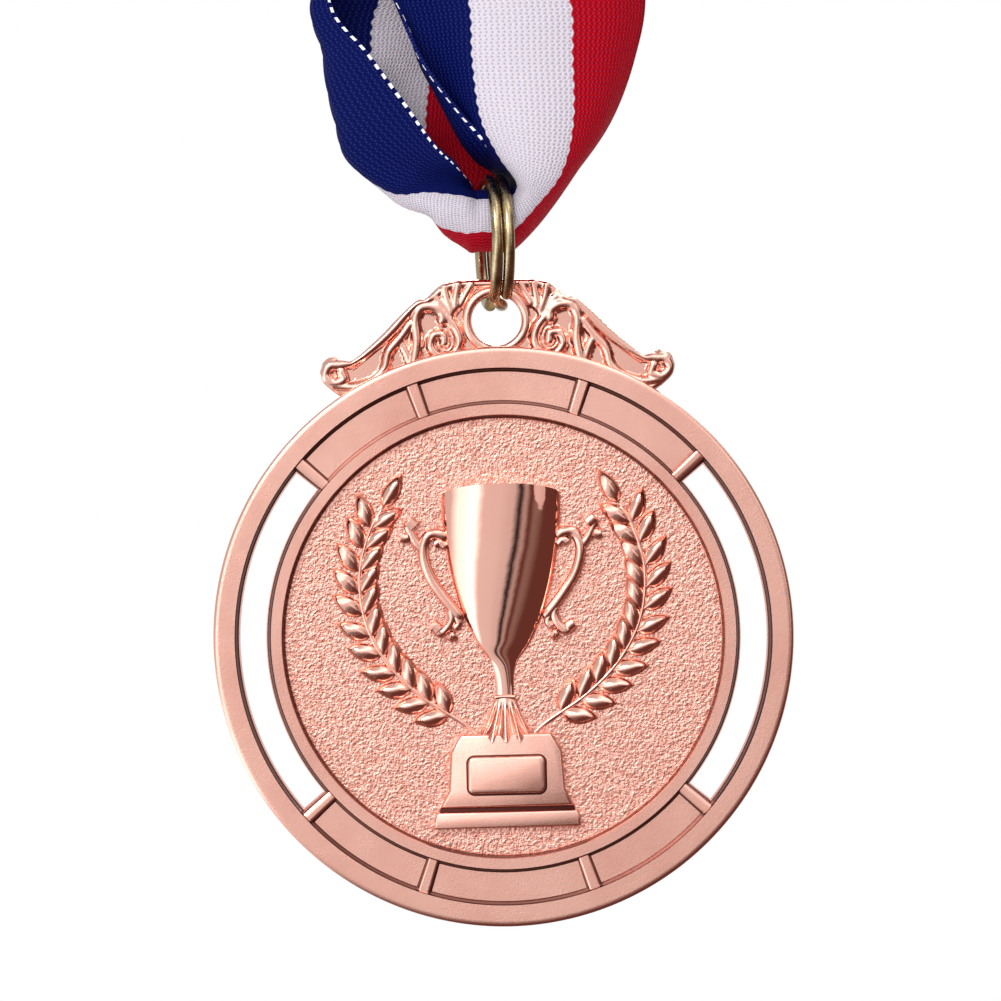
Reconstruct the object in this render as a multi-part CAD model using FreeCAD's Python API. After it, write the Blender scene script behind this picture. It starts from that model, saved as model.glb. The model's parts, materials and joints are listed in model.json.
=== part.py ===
# Medal on a split ring and a striped neck ribbon, hanging from a peg.
# Millimetres. +Z is up, the medal's face looks towards -Y, +X is to the right of the face.
# The origin is the centre of the peg that the ribbon's neck end goes over.
import FreeCAD, Part
import math
import os

V = FreeCAD.Vector

# ---- driving dimensions: medal ----
INCH = 25.4
DISC_R = INCH                  # a two inch medal
OUTER_RING_IN = 23.2           # inner edge of the outer ring
INNER_RING_OUT = 20.7
INNER_RING_IN = 19.1           # the round field ends here
RING_FRONT = -1.6              # front of both raised rings
SPOKE_FRONT = -1.4
BAND_FRONT = -0.6              # recessed band between the rings
FIELD_FRONT = -0.7             # sandblasted field
MEDAL_BACK = 1.2
EDGE_ROUND = 0.35
WINDOW_HALF_ANGLE = 39.5       # open windows, degrees each side of level
SPOKE_WIDTH = 1.0
SPOKE_ANGLES = (18.7, 48.5)    # degrees from upright, repeated in each quarter
RECESS_R = 0.75 * INCH         # shallow round recess in the back for an engraved disc
RECESS_DEPTH = 0.3

# ---- driving dimensions: crest, eye and split ring ----
EYE_HEIGHT = 27.7              # eye centre above the disc centre
EYE_R = 2.2
EYE_RIM_R = 3.05
EYE_RIM_FRONT = -1.2
CREST_FRONT = -0.8
CREST_EDGE_FRONT = -1.25
WIRE_R = 0.5
RING_R = 5.5                   # centre line of the split ring's wire
TURN_OFFSET = 0.52             # each of the two turns lies this far to one side
STEP_ANGLE = 32.0              # degrees over which the wire steps from one turn to the next
STEP_STIFFNESS = 0.38          # share of the step over which the wire keeps its heading
RING_TURN = 8.0                # the ring is turned this far about the upright axis
WIRE_IN_EYE = 1.3              # wire centre above the eye centre when the medal hangs

# ---- driving dimensions: ribbon ----
RIBBON_WIDTH = INCH
LAYER = 0.55                   # pitch of the folded layers
PASSES = 7                     # doubled passes up and down the hank
PEG_R = 3.0
PASS_LENGTH = 43.0             # peg centre down to the centre of the bottom folds
SHOULDER = 16.0                # below the peg the layers are pressed flat from here down
HANK_HALF = PASSES * LAYER
HANK_TOP_R = PEG_R + PASSES * LAYER
RUN_TO_RING = 23.0             # hank bottom down to the top of the split ring
CROWN_CLEARANCE = 0.25         # gathered ribbon to the ring's inner side
TIE_HEIGHT = 7.0
TIE_THICKNESS = 0.6
TIE_CENTRE = -27.0

# ---- heights worked out from the top down ----
HANK_BOTTOM = -(PASS_LENGTH + HANK_HALF)
RING_CENTRE = HANK_BOTTOM - RUN_TO_RING - RING_R - WIRE_R
EYE_CENTRE = RING_CENTRE - RING_R - WIRE_IN_EYE
DISC_CENTRE = EYE_CENTRE - EYE_HEIGHT


def prism(points, front, back):
    """Straight-sided solid on an XZ outline, from y=front to y=back."""
    corners = [V(x, front, z) for x, z in points]
    wire = Part.makePolygon(corners + corners[:1])
    return Part.Face(wire).extrude(V(0, back - front, 0))


def drum(radius, front, back, x=0.0, z=0.0):
    """Round solid along Y."""
    return Part.makeCylinder(radius, back - front, V(x, front, z), V(0, 1, 0))


def tube(outer, inner, front, back, x=0.0, z=0.0):
    return drum(outer, front, back, x, z).cut(drum(inner, front - 1, back + 1, x, z))


def turned(shape, degrees):
    """Copy turned about the disc's centre in the plane of its face."""
    copy = shape.copy()
    copy.rotate(V(0, 0, 0), V(0, 1, 0), degrees)
    return copy


def mirrored(shape):
    return shape.mirror(V(0, 0, 0), V(1, 0, 0))


def both_sides(shape):
    return [shape, mirrored(shape)]


def block(x0, x1, y0, y1, z0, z1):
    return Part.makeBox(x1 - x0, y1 - y0, z1 - z0, V(x0, y0, z0))


# ---- medal casting: disc, rings, windows and spokes ----
def disc_body():
    outer = tube(DISC_R, OUTER_RING_IN, RING_FRONT, MEDAL_BACK)
    rims = [edge for edge in outer.Edges
            if abs(edge.Length - 2 * math.pi * DISC_R) < 0.01]
    outer = outer.makeFillet(EDGE_ROUND, rims)
    inner = tube(INNER_RING_OUT, INNER_RING_IN, RING_FRONT, MEDAL_BACK)
    band = tube(OUTER_RING_IN, INNER_RING_OUT, BAND_FRONT, MEDAL_BACK)
    field = drum(INNER_RING_IN, FIELD_FRONT, MEDAL_BACK)
    field = field.cut(drum(RECESS_R, MEDAL_BACK - RECESS_DEPTH, MEDAL_BACK + 1))
    return outer.fuse([inner, band.cut(windows()), field])


def windows():
    """Two sector-shaped openings through the band, left and right of the field."""
    reach = 2 * DISC_R
    rise = reach * math.tan(math.radians(WINDOW_HALF_ANGLE))
    wedge = prism([(0, 0), (reach, rise), (reach, -rise)], RING_FRONT - 1, MEDAL_BACK + 1)
    sector = wedge.common(tube(OUTER_RING_IN, INNER_RING_OUT, RING_FRONT - 1, MEDAL_BACK + 1))
    return sector.fuse(mirrored(sector))


def spokes():
    half = SPOKE_WIDTH / 2
    overlap = 0.3
    bar = block(-half, half, SPOKE_FRONT, MEDAL_BACK,
                INNER_RING_OUT - overlap, OUTER_RING_IN + overlap)
    angles = []
    for angle in SPOKE_ANGLES:
        angles += [angle, -angle, 180 - angle, 180 + angle]
    return [turned(bar, angle) for angle in angles]


# ---- medal casting: crest with the eye ----
CREST_HALF = [(3.4, 31.25), (4.9, 30.8), (6.1, 29.75), (7.0, 29.5), (8.8, 27.9),
              (10.3, 26.4), (12.6, 24.5), (13.6, 24.6), (14.4, 24.9), (15.3, 24.3),
              (15.6, 23.5), (14.9, 22.2), (13.6, 20.6)]
CREST_TOP = (0.0, 31.3)


def crest_outline(y):
    left = [(-x, z) for x, z in reversed(CREST_HALF)]
    points = [V(x, y, z) for x, z in left + [CREST_TOP] + CREST_HALF]
    curve = Part.BSplineCurve()
    curve.interpolate(points)
    base = Part.makeLine(points[-1], points[0])
    return Part.Wire([curve.toShape(), base])


def crest():
    plate = Part.Face(crest_outline(CREST_FRONT)).extrude(V(0, MEDAL_BACK - CREST_FRONT, 0))
    plate = plate.cut(drum(OUTER_RING_IN, RING_FRONT, MEDAL_BACK + 1))
    pieces = [plate, drum(EYE_RIM_R, EYE_RIM_FRONT, MEDAL_BACK, 0, EYE_HEIGHT)]
    for x, z, radius in ((14.2, 23.3, 1.2), (5.6, 26.4, 1.5), (4.6, 29.7, 1.0)):
        pieces += both_sides(drum(radius, CREST_EDGE_FRONT, MEDAL_BACK, x, z))
    stem = arc_pipe((6.6, 27.4), (9.6, 25.6), (13.4, 24.2), 0.5, CREST_FRONT)
    pieces += both_sides(stem)
    return pieces


def arc_pipe(start, middle, end, radius, y):
    """Round bar along one arc that lies half sunk in the plane at y."""
    points = [V(x, y, z) for x, z in (start, middle, end)]
    path = Part.Wire([Part.Arc(*points).toShape()])
    heading = path.Edges[0].tangentAt(path.Edges[0].FirstParameter)
    profile = Part.Wire([Part.makeCircle(radius, points[0], heading)])
    return path.makePipeShell([profile], True, True)


# ---- medal casting: cup relief ----
CUP_RELIEF = 0.26              # depth of the cup's round forms against their width
CUP_PROFILE = [(0.0, 12.9), (5.25, 12.4), (5.1, 9.0), (4.55, 5.6), (3.3, 1.6), (1.5, -1.4),
               (0.85, -2.9), (0.8, -5.4), (1.35, -7.0), (2.75, -8.8), (0.0, -8.8)]
PLINTH = [(-3.95, -8.4), (3.95, -8.4), (5.0, -10.2), (5.1, -14.0), (6.4, -15.8), (6.4, -16.8),
          (-6.4, -16.8), (-6.4, -15.8), (-5.1, -14.0), (-5.0, -10.2)]
PLINTH_FRONT = -1.7
PLATE_HALF_WIDTH = 3.45
PLATE_LOW = -13.8
PLATE_HIGH = -10.4
PLATE_FRONT = -1.95


def cup():
    corners = [V(x, 0, z) for x, z in CUP_PROFILE]
    face = Part.Face(Part.makePolygon(corners + corners[:1]))
    whole = face.revolve(V(0, 0, 0), V(0, 0, 1), 360)
    squeeze = FreeCAD.Matrix()
    squeeze.scale(V(1, CUP_RELIEF, 1))
    whole = whole.transformGeometry(squeeze)
    whole.translate(V(0, FIELD_FRONT, 0))
    front = block(-DISC_R, DISC_R, FIELD_FRONT - 5, FIELD_FRONT + 0.3, -DISC_R, DISC_R)
    pieces = [whole.common(front), prism(PLINTH, PLINTH_FRONT, FIELD_FRONT + 0.2)]
    pieces.append(block(-PLATE_HALF_WIDTH, PLATE_HALF_WIDTH, PLATE_FRONT, PLINTH_FRONT + 0.1,
                        PLATE_LOW, PLATE_HIGH))
    handle = arc_pipe((4.6, 8.6), (6.7, 6.2), (3.6, 1.9), 0.4, FIELD_FRONT)
    pieces += both_sides(handle)
    return pieces


# ---- medal casting: laurel ----
LEAF_LENGTH = 2.2
LEAF_WIDTH = 0.95
LEAF_FRONT = -1.15
LAUREL_RADIUS = 12.6
LAUREL_CENTRE = 1.2
LAUREL_PAIRS = 11
LAUREL_FROM = -52.0            # degrees above level at the foot of the branch
LAUREL_TO = 46.0               # degrees above level at the last pair
LEAF_SPREAD = 30.0             # degrees between a leaf and the stem
LEAF_OUT = 0.85


def leaf(x, z, heading):
    """Almond outline of two arcs, pointing along heading (degrees above +X)."""
    base = V(0, LEAF_FRONT, 0)
    tip = V(LEAF_LENGTH, LEAF_FRONT, 0)
    edges = []
    for side in (1, -1):
        bulge = V(LEAF_LENGTH * 0.45, LEAF_FRONT, side * LEAF_WIDTH / 2)
        edges.append(Part.Arc(base, bulge, tip).toShape())
    solid = Part.Face(Part.Wire(Part.__sortEdges__(edges))).extrude(
        V(0, FIELD_FRONT + 0.1 - LEAF_FRONT, 0))
    solid.rotate(V(0, 0, 0), V(0, 1, 0), -heading)
    solid.translate(V(x, 0, z))
    return solid


def branch():
    """Right-hand branch: leaf pairs along an arc, and one leaf at its tip."""
    leaves = []
    step = (LAUREL_TO - LAUREL_FROM) / (LAUREL_PAIRS - 1)
    for index in range(LAUREL_PAIRS + 1):
        angle = LAUREL_FROM + index * step
        heading = angle + 90
        outward = V(math.cos(math.radians(angle)), 0, math.sin(math.radians(angle)))
        if index == LAUREL_PAIRS:
            spot = outward * LAUREL_RADIUS
            leaves.append(leaf(spot.x, LAUREL_CENTRE + spot.z, heading))
            break
        for side in (1, -1):
            spot = outward * (LAUREL_RADIUS + side * LEAF_OUT / 2)
            leaves.append(leaf(spot.x, LAUREL_CENTRE + spot.z, heading - side * LEAF_SPREAD))
    return leaves


def medal_casting():
    body = disc_body()
    body = body.fuse(spokes() + crest() + cup())
    right = branch()
    left = [mirrored(piece) for piece in right]
    body = body.fuse(right + left)
    body = body.cut(drum(EYE_R, RING_FRONT - 2, MEDAL_BACK + 2, 0, EYE_HEIGHT))
    body = body.removeSplitter()
    body.translate(V(0, 0, DISC_CENTRE))
    return body


# ---- split ring: one wire, two turns side by side ----
def split_ring():
    """Made flat about +Z, then stood up so that its axis lies along X."""
    flat = 360 - STEP_ANGLE
    ring = Part.makeTorus(RING_R, WIRE_R, V(0, 0, -TURN_OFFSET), V(0, 0, 1), -180, 180, flat)
    upper = Part.makeTorus(RING_R, WIRE_R, V(0, 0, TURN_OFFSET), V(0, 0, 1), -180, 180, flat)
    leaving = turn_point(flat, -TURN_OFFSET)
    arriving = turn_point(360, TURN_OFFSET)
    reach = math.radians(STEP_ANGLE) * RING_R * STEP_STIFFNESS
    curve = Part.BezierCurve()
    curve.setPoles([leaving, leaving + turn_heading(flat) * reach,
                    arriving - turn_heading(0) * reach, arriving])
    profile = Part.Wire([Part.makeCircle(WIRE_R, leaving, turn_heading(flat))])
    step = Part.Wire([curve.toShape()]).makePipeShell([profile], True, True)
    ring = ring.fuse(step).fuse(upper)
    ring.rotate(V(0, 0, 0), V(0, 1, 0), 90)
    ring.translate(V(0, 0, RING_CENTRE))
    ring.rotate(V(0, 0, RING_CENTRE), V(0, 0, 1), RING_TURN)
    return ring


def turn_point(degrees, height):
    angle = math.radians(degrees)
    return V(RING_R * math.cos(angle), RING_R * math.sin(angle), height)


def turn_heading(degrees):
    angle = math.radians(degrees)
    return V(-math.sin(angle), math.cos(angle), 0)


# ---- neck ribbon: the hank ----
def hank_outline():
    """Side outline in YZ: round over the peg, pressed flat below the shoulder, round at the foot."""
    corner = V(0, HANK_HALF, -SHOULDER)
    reach = corner.Length
    lean = math.atan2(corner.z, corner.y) + math.acos(HANK_TOP_R / reach)
    touch_y = HANK_TOP_R * math.cos(lean)
    touch_z = HANK_TOP_R * math.sin(lean)
    top = Part.Arc(V(0, touch_y, touch_z), V(0, 0, HANK_TOP_R), V(0, -touch_y, touch_z))
    foot = Part.Arc(V(0, HANK_HALF, -PASS_LENGTH), V(0, 0, HANK_BOTTOM),
                    V(0, -HANK_HALF, -PASS_LENGTH))
    sides = []
    for side in (1, -1):
        shoulder = V(0, side * HANK_HALF, -SHOULDER)
        sides.append(Part.makeLine(V(0, side * touch_y, touch_z), shoulder))
        sides.append(Part.makeLine(shoulder, V(0, side * HANK_HALF, -PASS_LENGTH)))
    edges = [top.toShape(), foot.toShape()] + sides
    return Part.Wire(Part.__sortEdges__(edges))


def ribbon_hank():
    body = Part.Face(hank_outline()).extrude(V(RIBBON_WIDTH, 0, 0))
    body.translate(V(-RIBBON_WIDTH / 2, 0, 0))
    leaving = block(-RIBBON_WIDTH / 2, RIBBON_WIDTH / 2, -HANK_HALF, -HANK_HALF + 2 * LAYER,
                    HANK_BOTTOM, -PASS_LENGTH)
    peg = Part.makeCylinder(PEG_R, 2 * RIBBON_WIDTH, V(-RIBBON_WIDTH, 0, 0), V(1, 0, 0))
    return body.fuse(leaving).cut(peg).removeSplitter()


# ---- neck ribbon: the hanging strands and the gathered crown in the ring ----
CROWN_HALF = 2.0               # the gathered ribbon's half length through the ring
STRAND_SPLIT = -0.4            # the right-hand strand hangs in front of this, the left-hand behind
STRAND_BACK = 3.6
LEFT_DROP = 0.5                # the left-hand strand's solid starts this far below the hank
# outer edge of each strand, outwards from the ring, with heights above the ring's centre
RIGHT_EDGE = [(2.6, -0.2), (7.2, 6.2), (12.4, 14.5), (13.4, 21.0)]
LEFT_EDGE = [(-2.8, -0.2), (-8.8, 4.2), (-13.0, 9.5), (-14.9, 21.0)]


def ribbon_run():
    ring_top = RING_CENTRE + RING_R + WIRE_R
    crown_r = RING_R - WIRE_R - CROWN_CLEARANCE
    crown_low = RING_CENTRE + RIGHT_EDGE[0][1]
    half = RIBBON_WIDTH / 2
    crown = Part.makeCylinder(crown_r, 2 * CROWN_HALF, V(-CROWN_HALF, 0, RING_CENTRE), V(1, 0, 0))
    crown = crown.common(block(-INCH, INCH, -INCH, INCH, crown_low, ring_top))
    parting = ring_top + 1.0
    right_edge = [(x, RING_CENTRE + z) for x, z in RIGHT_EDGE]
    left_edge = [(x, RING_CENTRE + z) for x, z in LEFT_EDGE]
    right = prism([(CROWN_HALF, crown_low)] + right_edge
                  + [(half, HANK_BOTTOM), (-half + 3.0, HANK_BOTTOM), (CROWN_HALF, parting)],
                  -HANK_HALF, STRAND_SPLIT)
    left = prism([(-CROWN_HALF, crown_low)] + left_edge
                 + [(-half, HANK_BOTTOM - LEFT_DROP), (half - 5.0, HANK_BOTTOM - LEFT_DROP),
                    (-CROWN_HALF, parting)],
                 STRAND_SPLIT, STRAND_BACK)
    return crown.fuse([right, left]).removeSplitter()


# ---- tie round the hank, and the stitches that join the ribbon's ends ----
def hank_tie():
    half = RIBBON_WIDTH / 2
    low = TIE_CENTRE - TIE_HEIGHT / 2
    high = TIE_CENTRE + TIE_HEIGHT / 2
    outside = block(-half - TIE_THICKNESS, half + TIE_THICKNESS,
                    -HANK_HALF - TIE_THICKNESS, HANK_HALF + TIE_THICKNESS, low, high)
    return outside.cut(block(-half, half, -HANK_HALF, HANK_HALF, low - 1, high + 1))


STITCH_LENGTH = 1.8
STITCH_THICKNESS = 0.35
STITCH_ROWS = (-38.0, -41.5)
STITCHES = 9


def seam_thread():
    """Two rows of stitches across the front of the hank."""
    stitches = []
    pitch = (RIBBON_WIDTH - 3.0) / STITCHES
    for row in STITCH_ROWS:
        for index in range(STITCHES):
            x = (index - (STITCHES - 1) / 2) * pitch
            stitches.append(block(x - STITCH_LENGTH / 2, x + STITCH_LENGTH / 2,
                                  -HANK_HALF - STITCH_THICKNESS, -HANK_HALF,
                                  row, row + STITCH_THICKNESS))
    return Part.Compound(stitches)


NODES = {
    "medal_casting": medal_casting,
    "split_ring": split_ring,
    "ribbon_run": ribbon_run,
    "ribbon_hank": ribbon_hank,
    "hank_tie": hank_tie,
    "seam_thread": seam_thread,
}


def main():
    os.makedirs("parts", exist_ok=True)
    for name, make in NODES.items():
        shape = make()
        shape.exportStep("parts/" + name + ".step")
        box = shape.BoundBox
        print(name, "valid", shape.isValid(), "solids", len(shape.Solids),
              "volume", round(shape.Volume, 2),
              "box", [round(v, 2) for v in (box.XMin, box.YMin, box.ZMin,
                                            box.XMax, box.YMax, box.ZMax)])
        if name == "medal_casting" and shape.Solids:
            mass_centre = shape.Solids[0].CenterOfMass
            print("  mass centre", [round(v, 3) for v in mass_centre])
    print("ring centre", RING_CENTRE, "eye centre", EYE_CENTRE, "disc centre", DISC_CENTRE)


main()
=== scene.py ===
import json
import math
import bmesh
import bpy
import numpy as np
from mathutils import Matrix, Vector

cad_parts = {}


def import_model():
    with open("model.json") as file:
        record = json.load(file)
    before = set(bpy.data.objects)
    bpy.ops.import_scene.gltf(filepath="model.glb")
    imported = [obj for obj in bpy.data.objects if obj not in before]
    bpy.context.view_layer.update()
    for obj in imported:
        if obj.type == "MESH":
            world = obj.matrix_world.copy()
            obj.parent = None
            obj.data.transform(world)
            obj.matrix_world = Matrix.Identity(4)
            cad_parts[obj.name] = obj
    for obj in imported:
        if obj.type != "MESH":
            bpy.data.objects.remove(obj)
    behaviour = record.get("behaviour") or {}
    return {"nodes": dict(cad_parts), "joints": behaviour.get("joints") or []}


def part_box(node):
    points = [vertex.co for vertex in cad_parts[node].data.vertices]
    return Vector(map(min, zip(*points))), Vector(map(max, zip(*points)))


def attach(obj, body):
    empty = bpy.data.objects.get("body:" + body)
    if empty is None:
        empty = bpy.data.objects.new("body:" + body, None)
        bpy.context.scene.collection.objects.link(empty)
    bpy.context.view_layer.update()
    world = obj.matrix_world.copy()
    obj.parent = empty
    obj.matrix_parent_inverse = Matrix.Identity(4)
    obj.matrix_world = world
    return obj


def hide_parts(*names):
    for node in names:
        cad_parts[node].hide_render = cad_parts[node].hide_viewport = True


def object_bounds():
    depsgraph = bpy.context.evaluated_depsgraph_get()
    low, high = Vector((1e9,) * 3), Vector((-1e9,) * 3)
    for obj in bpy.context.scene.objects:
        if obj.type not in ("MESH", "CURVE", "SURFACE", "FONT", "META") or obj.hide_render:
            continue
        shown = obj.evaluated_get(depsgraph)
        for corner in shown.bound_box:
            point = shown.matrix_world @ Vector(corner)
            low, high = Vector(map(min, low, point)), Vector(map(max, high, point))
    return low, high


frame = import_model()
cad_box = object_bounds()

MM = 0.001
INCH = 25.4

# ---- places in the frame, millimetres ----
joints = {joint["name"]: joint for joint in frame["joints"]}
RING_Z = joints["ring_swing"]["pos_m"][2] / MM
EYE_Z = joints["medal_swing"]["pos_m"][2] / MM
EYE_HEIGHT = 27.7              # eye centre above the disc centre
DISC_Z = EYE_Z - EYE_HEIGHT
HANK_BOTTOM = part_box("ribbon_hank")[0][2] / MM

# ---- medal sizes ----
DISC_R = INCH
OUTER_IN = 23.2
INNER_OUT = 20.7
INNER_IN = 19.1
RING_FRONT = -1.6
SPOKE_FRONT = -1.4
BAND_FRONT = -0.6              # the recessed band between the rings
FIELD_FRONT = -0.7             # the sandblasted field
BACK = 1.2
WALL = 0.34                    # width of a cast wall's draft, in plan
WINDOW_HALF = math.radians(39.5)
SPOKES = [math.radians(a) for a in (18.7, 48.5)]
SPOKE_FOOT = 0.62              # half width of a spoke at its foot
SPOKE_DRAFT = 0.18
WINDOW_LIP = 0.08              # from a wall's foot to the window's edge
EDGE_ROUND = 0.35
RECESS_R = 0.75 * INCH
RECESS_DEPTH = 0.3
EYE_R = 2.2
STEEP = 0.55                   # faces with less of their normal along Y count as walls


# ---- meshes ----
def add_mesh(name, points, faces, material, body, smooth=True, offset=(0, 0, 0)):
    """Object from points in millimetres, riding on a body."""
    mesh = bpy.data.meshes.new(name)
    shifted = (np.asarray(points, float) + np.asarray(offset, float)) * MM
    mesh.from_pydata(shifted.tolist(), [], [list(face) for face in faces])
    mesh.update()
    if smooth:
        mesh.shade_smooth()
    piece = bpy.data.objects.new(name, mesh)
    bpy.context.scene.collection.objects.link(piece)
    if material:
        mesh.materials.append(material)
    if body:
        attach(piece, body)
    return piece


def outward(piece):
    """Makes every face of a closed mesh look outwards."""
    work = bmesh.new()
    work.from_mesh(piece.data)
    bmesh.ops.recalc_face_normals(work, faces=work.faces)
    work.to_mesh(piece.data)
    work.free()


def sharp_by_angle(piece, degrees):
    """Smooth shading that breaks at real corners."""
    piece.data.set_sharp_from_angle(angle=math.radians(degrees))


def grid_faces(rows, columns, wrap=False):
    """Quads of a rows x columns lattice of points; wrap joins the last column to the first."""
    faces = []
    for row in range(rows - 1):
        for column in range(columns if wrap else columns - 1):
            after = (column + 1) % columns
            faces.append((row * columns + column, row * columns + after,
                          (row + 1) * columns + after, (row + 1) * columns + column))
    return faces


def ring_faces(steps, size):
    """Quads of a closed profile carried once round."""
    faces = []
    for step in range(steps):
        after = (step + 1) % steps
        for index in range(size):
            follow = (index + 1) % size
            faces.append((step * size + index, step * size + follow,
                          after * size + follow, after * size + index))
    return faces


def two_sheets(plan, faces, front, back):
    """Closed solid: the same flat mesh at two depths, with walls along every open edge."""
    plan = np.asarray(plan, float)
    count = len(plan)
    points = np.zeros((2 * count, 3))
    points[:count, 0] = points[count:, 0] = plan[:, 0]
    points[:count, 2] = points[count:, 2] = plan[:, 1]
    points[:count, 1] = front
    points[count:, 1] = back
    edges = {edge: True for face in faces for edge in zip(face, face[1:] + face[:1])}
    walls = [(end, start, start + count, end + count)
             for start, end in edges if (end, start) not in edges]
    behind = [tuple(corner + count for corner in reversed(face)) for face in faces]
    return points, list(faces) + behind + walls


def join(points, faces, more, more_faces):
    """Adds a second mesh to the first."""
    start = len(points)
    points += [tuple(point) for point in more]
    faces += [tuple(corner + start for corner in face) for face in more_faces]


def ease(t):
    t = np.clip(t, 0.0, 1.0)
    return t * t * (3 - 2 * t)


def lathe(profile, steps, centre):
    """Turns a closed (radius, depth) profile about an axis along Y."""
    points = []
    for step in range(steps):
        angle = 2 * math.pi * step / steps
        for radius, depth in profile:
            points.append((centre[0] + radius * math.cos(angle), depth,
                           centre[1] + radius * math.sin(angle)))
    return points, ring_faces(steps, len(profile))


def spline(guides, steps):
    """Smooth run through all guides but the first and the last, without its end."""
    fine = []
    for index in range(len(guides) - 3):
        p0, p1, p2, p3 = guides[index:index + 4]
        for t in np.linspace(0, 1, steps, endpoint=False):
            fine.append(0.5 * (2 * p1 + (p2 - p0) * t + (2 * p0 - 5 * p1 + 4 * p2 - p3) * t ** 2
                               + (3 * p1 - p0 - 3 * p2 + p3) * t ** 3))
    return fine


def catmull(points, samples):
    """Smooth curve through points, resampled evenly along its length."""
    points = np.asarray(points, float)
    padded = np.vstack([2 * points[0] - points[1], points, 2 * points[-1] - points[-2]])
    fine = np.array(spline(padded, 16) + [points[-1]])
    travelled = np.concatenate([[0], np.cumsum(np.linalg.norm(np.diff(fine, axis=0), axis=1))])
    wanted = np.linspace(0, travelled[-1], samples)
    return np.stack([np.interp(wanted, travelled, fine[:, k]) for k in range(fine.shape[1])], 1)


# ---- materials ----
class Shader:
    """A Principled material with short ways to add procedural nodes."""

    def __init__(self, name, color, metallic=0.0, roughness=0.5):
        self.material = bpy.data.materials.new(name)
        self.material.use_nodes = True
        self.tree = self.material.node_tree
        self.bsdf = self.tree.nodes["Principled BSDF"]
        self.set(self.bsdf, "Base Color", (*color, 1.0))
        self.set(self.bsdf, "Metallic", metallic)
        self.set(self.bsdf, "Roughness", roughness)

    def set(self, node, socket, value):
        if isinstance(value, bpy.types.NodeSocket):
            self.tree.links.new(value, node.inputs[socket])
        else:
            node.inputs[socket].default_value = value

    def node(self, kind, output=0, settings=None, **inputs):
        node = self.tree.nodes.new("ShaderNode" + kind)
        for key, value in (settings or {}).items():
            setattr(node, key, value)
        for socket, value in inputs.items():
            key = int(socket[1:]) if socket[1:].isdigit() else socket.replace("_", " ")
            self.set(node, key, value)
        return node.outputs[output]

    def math(self, operation, a, b=0.0):
        return self.node("Math", settings={"operation": operation}, i0=a, i1=b)

    def place(self):
        """Object coordinates, in millimetres."""
        spot = self.node("TexCoord", "Object")
        return self.node("Mapping", Vector=spot, Scale=(1 / MM, 1 / MM, 1 / MM))

    def noise(self, scale, detail=2.0, rough=0.5):
        return self.node("TexNoise", "Fac", Vector=self.place(), Scale=scale,
                         Detail=detail, Roughness=rough)

    def spread(self, value, low, high, out_low=0.0, out_high=1.0, smooth=False):
        kind = "SMOOTHSTEP" if smooth else "LINEAR"
        return self.node("MapRange", settings={"interpolation_type": kind},
                         i0=value, i1=low, i2=high, i3=out_low, i4=out_high)

    def mix(self, share, a, b):
        node = self.tree.nodes.new("ShaderNodeMix")
        node.data_type = "RGBA"
        self.set(node, 0, share)
        for index, value in ((6, a), (7, b)):
            linked = isinstance(value, bpy.types.NodeSocket)
            self.set(node, index, value if linked else (*value, 1.0))
        return node.outputs[2]

    def bump(self, height, strength, depth_mm):
        return self.node("Bump", Height=height, Strength=strength, Distance=depth_mm * MM)


ROSE = (0.86, 0.475, 0.385)
ROSE_DEEP = (0.60, 0.20, 0.145)


def cast_metal(name, roughness, grain_mm, grain_depth, tarnish=0.35):
    """Rose gold plating: grain in the surface, a little deeper colour in patches."""
    shader = Shader(name, ROSE, 1.0, roughness)
    patches = shader.noise(0.09, 3.0, 0.6)
    share = shader.spread(patches, 0.42, 0.75, 0.0, tarnish)
    shader.set(shader.bsdf, "Base Color", shader.mix(share, ROSE, ROSE_DEEP))
    fine = shader.noise(1.0 / grain_mm, 2.0, 0.6)
    wear = shader.noise(0.5, 4.0, 0.6)
    shader.set(shader.bsdf, "Roughness",
               shader.spread(wear, 0.3, 0.7, roughness * 0.8, roughness * 1.2))
    shader.set(shader.bsdf, "Normal", shader.bump(fine, 1.0, grain_depth))
    return shader.material


def sand_metal():
    """The sandblasted field: close pits and grains about a third of a millimetre across."""
    shader = Shader("rose_sandblasted", ROSE, 1.0, 0.34)
    grains = shader.noise(3.4, 2.0, 0.7)
    swells = shader.noise(1.1, 2.0, 0.5)
    cells = shader.node("TexVoronoi", "Distance", Vector=shader.place(), Scale=3.6)
    rough = shader.math("SUBTRACT", grains, shader.math("MULTIPLY", cells, 0.3))
    height = shader.math("ADD", rough, shader.math("MULTIPLY", swells, 0.25))
    share = shader.spread(grains, 0.38, 0.58, 0.65, 0.0, True)
    shader.set(shader.bsdf, "Base Color", shader.mix(share, ROSE, ROSE_DEEP))
    shader.set(shader.bsdf, "Normal", shader.bump(height, 1.0, 0.11))
    return shader.material


def wire_metal():
    """Brass-coloured steel wire, darker in patches and finely scratched."""
    shader = Shader("antique_brass_wire", (0.44, 0.34, 0.20), 1.0, 0.22)
    patches = shader.noise(0.6, 4.0, 0.6)
    share = shader.spread(patches, 0.45, 0.7, 0.0, 0.8)
    shader.set(shader.bsdf, "Base Color", shader.mix(share, (0.46, 0.36, 0.21), (0.17, 0.11, 0.06)))
    scratches = shader.noise(3.0, 3.0, 0.6)
    shader.set(shader.bsdf, "Roughness", shader.spread(scratches, 0.3, 0.7, 0.14, 0.34))
    shader.set(shader.bsdf, "Normal", shader.bump(scratches, 0.4, 0.03))
    return shader.material


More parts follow.
